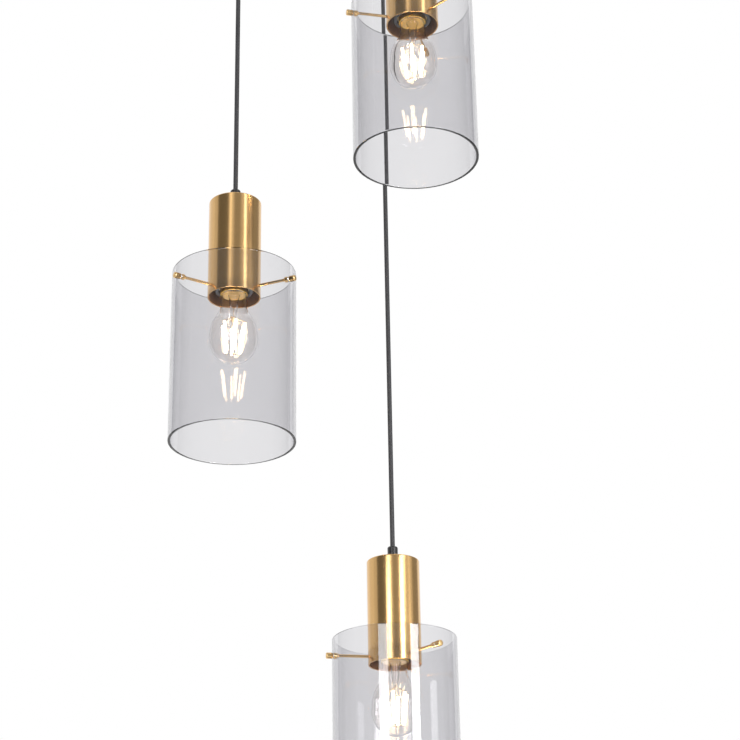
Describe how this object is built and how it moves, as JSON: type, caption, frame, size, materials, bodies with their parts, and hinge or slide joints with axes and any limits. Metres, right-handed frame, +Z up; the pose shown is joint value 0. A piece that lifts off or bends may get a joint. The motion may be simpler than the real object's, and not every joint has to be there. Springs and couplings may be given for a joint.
{
  "type": "cluster pendant light",
  "caption": "Cluster pendant light: open smoked-glass cylinders on brass caps with clear globe bulbs, hung at stepped heights on black cords from a round canopy.",
  "frame": {"origin": "middle of the mounting bracket's ceiling face", "axes": "+Z up to the ceiling; the middle pendant hangs on -X, the bracket runs along Y, the short pendant hangs at -60 degrees and the long one at +60 degrees from +X"},
  "size_m": [0.3104, 0.3106, 1.117],
  "materials": {
    "smoked_glass": "polished, lightly smoked",
    "brass": "satin brushed, lacquered",
    "plain_brass": "bright rolled sheet",
    "black_nylon": "moulded, satin",
    "black_bakelite": "moulded, semi-gloss",
    "white_polyamide": "moulded",
    "ceramic": "glazed, stands for porcelain",
    "zinc_steel": "zinc plated",
    "black_paint": "powder coat, fine matt",
    "cord": "smooth round flex, satin",
    "bulb_glass": "clear blown glass",
    "filament": "phosphor-coated light sticks, lit warm white",
    "solder": "tinned"
  },
  "bodies": {
    "canopy": {"canopy_cup": "black_paint", "canopy_screws": "zinc_steel", "mounting_bracket": "zinc_steel", "earth_screw": "zinc_steel", "canopy_grips": "black_nylon", "canopy_grip_nuts": "zinc_steel", "terminal_block": "white_polyamide", "terminal_screws": "zinc_steel", "cord_tails": "cord"},
    "bend_short": {"cord_bend_short": "cord"},
    "hanging_short": {"cord_short": "cord"},
    "pendant_short": {"glass_shade_short": "smoked_glass", "cap_short": "brass", "strain_relief_short": "black_nylon", "lock_nuts_short": "zinc_steel", "spacer_tube_short": "zinc_steel", "rods_short": "brass", "rod_knobs_short": "brass", "holder_skirt_short": "black_bakelite", "holder_dome_short": "black_bakelite", "holder_core_short": "ceramic", "holder_screw_shell_short": "plain_brass"},
    "bulb_tip_short": {"bulb_contact_short": "solder"},
    "bulb_short": {"bulb_base_short": "plain_brass", "bulb_globe_short": "bulb_glass", "bulb_filaments_short": "filament"},
    "bend_middle": {"cord_bend_middle": "cord"},
    "hanging_middle": {"cord_middle": "cord"},
    "pendant_middle": {"glass_shade_middle": "smoked_glass", "cap_middle": "brass", "strain_relief_middle": "black_nylon", "lock_nuts_middle": "zinc_steel", "spacer_tube_middle": "zinc_steel", "rods_middle": "brass", "rod_knobs_middle": "brass", "holder_skirt_middle": "black_bakelite", "holder_dome_middle": "black_bakelite", "holder_core_middle": "ceramic", "holder_screw_shell_middle": "plain_brass"},
    "bulb_tip_middle": {"bulb_contact_middle": "solder"},
    "bulb_middle": {"bulb_base_middle": "plain_brass", "bulb_globe_middle": "bulb_glass", "bulb_filaments_middle": "filament"},
    "bend_long": {"cord_bend_long": "cord"},
    "hanging_long": {"cord_long": "cord"},
    "pendant_long": {"glass_shade_long": "smoked_glass", "cap_long": "brass", "strain_relief_long": "black_nylon", "lock_nuts_long": "zinc_steel", "spacer_tube_long": "zinc_steel", "rods_long": "brass", "rod_knobs_long": "brass", "holder_skirt_long": "black_bakelite", "holder_dome_long": "black_bakelite", "holder_core_long": "ceramic", "holder_screw_shell_long": "plain_brass"},
    "bulb_tip_long": {"bulb_contact_long": "solder"},
    "bulb_long": {"bulb_base_long": "plain_brass", "bulb_globe_long": "bulb_glass", "bulb_filaments_long": "filament"}
  },
  "joints": [
    {"name": "swing_x_short", "type": "hinge", "parent": "canopy", "child": "bend_short", "pos_m": [0.055, -0.09526, -0.0345], "axis": [1, 0, 0], "range_deg": [-6, 6]},
    {"name": "swing_y_short", "type": "hinge", "parent": "bend_short", "child": "hanging_short", "pos_m": [0.055, -0.09526, -0.0345], "axis": [0, 1, 0], "range_deg": [-6, 6]},
    {"name": "height_short", "type": "slide", "parent": "hanging_short", "child": "pendant_short", "axis": [0, 0, 1], "range_m": [0, 0.12], "deforming": ["cord_short"]},
    {"name": "bulb_out_short", "type": "slide", "parent": "pendant_short", "child": "bulb_tip_short", "axis": [0, 0, -1], "range_m": [0, 0.0218]},
    {"name": "bulb_turn_short", "type": "hinge", "parent": "bulb_tip_short", "child": "bulb_short", "pos_m": [0.055, -0.09526, -0.42], "axis": [0, 0, -1], "range_deg": [0, 2160]},
    {"name": "swing_x_middle", "type": "hinge", "parent": "canopy", "child": "bend_middle", "pos_m": [-0.11, 0, -0.0345], "axis": [1, 0, 0], "range_deg": [-6, 6]},
    {"name": "swing_y_middle", "type": "hinge", "parent": "bend_middle", "child": "hanging_middle", "pos_m": [-0.11, 0, -0.0345], "axis": [0, 1, 0], "range_deg": [-6, 6]},
    {"name": "height_middle", "type": "slide", "parent": "hanging_middle", "child": "pendant_middle", "axis": [0, 0, 1], "range_m": [0, 0.12], "deforming": ["cord_middle"]},
    {"name": "bulb_out_middle", "type": "slide", "parent": "pendant_middle", "child": "bulb_tip_middle", "axis": [0, 0, -1], "range_m": [0, 0.0218]},
    {"name": "bulb_turn_middle", "type": "hinge", "parent": "bulb_tip_middle", "child": "bulb_middle", "pos_m": [-0.11, 0, -0.68], "axis": [0, 0, -1], "range_deg": [0, 2160]},
    {"name": "swing_x_long", "type": "hinge", "parent": "canopy", "child": "bend_long", "pos_m": [0.055, 0.09526, -0.0345], "axis": [1, 0, 0], "range_deg": [-6, 6]},
    {"name": "swing_y_long", "type": "hinge", "parent": "bend_long", "child": "hanging_long", "pos_m": [0.055, 0.09526, -0.0345], "axis": [0, 1, 0], "range_deg": [-6, 6]},
    {"name": "height_long", "type": "slide", "parent": "hanging_long", "child": "pendant_long", "axis": [0, 0, 1], "range_m": [0, 0.12], "deforming": ["cord_long"]},
    {"name": "bulb_out_long", "type": "slide", "parent": "pendant_long", "child": "bulb_tip_long", "axis": [0, 0, -1], "range_m": [0, 0.0218]},
    {"name": "bulb_turn_long", "type": "hinge", "parent": "bulb_tip_long", "child": "bulb_long", "pos_m": [0.055, 0.09526, -1.013], "axis": [0, 0, -1], "range_deg": [0, 2160]}
  ],
  "couplings": [
    {"joint": "bulb_out_short", "follows": "bulb_turn_short", "m_per_rad": 0.00057757},
    {"joint": "bulb_out_middle", "follows": "bulb_turn_middle", "m_per_rad": 0.00057757},
    {"joint": "bulb_out_long", "follows": "bulb_turn_long", "m_per_rad": 0.00057757}
  ]
}
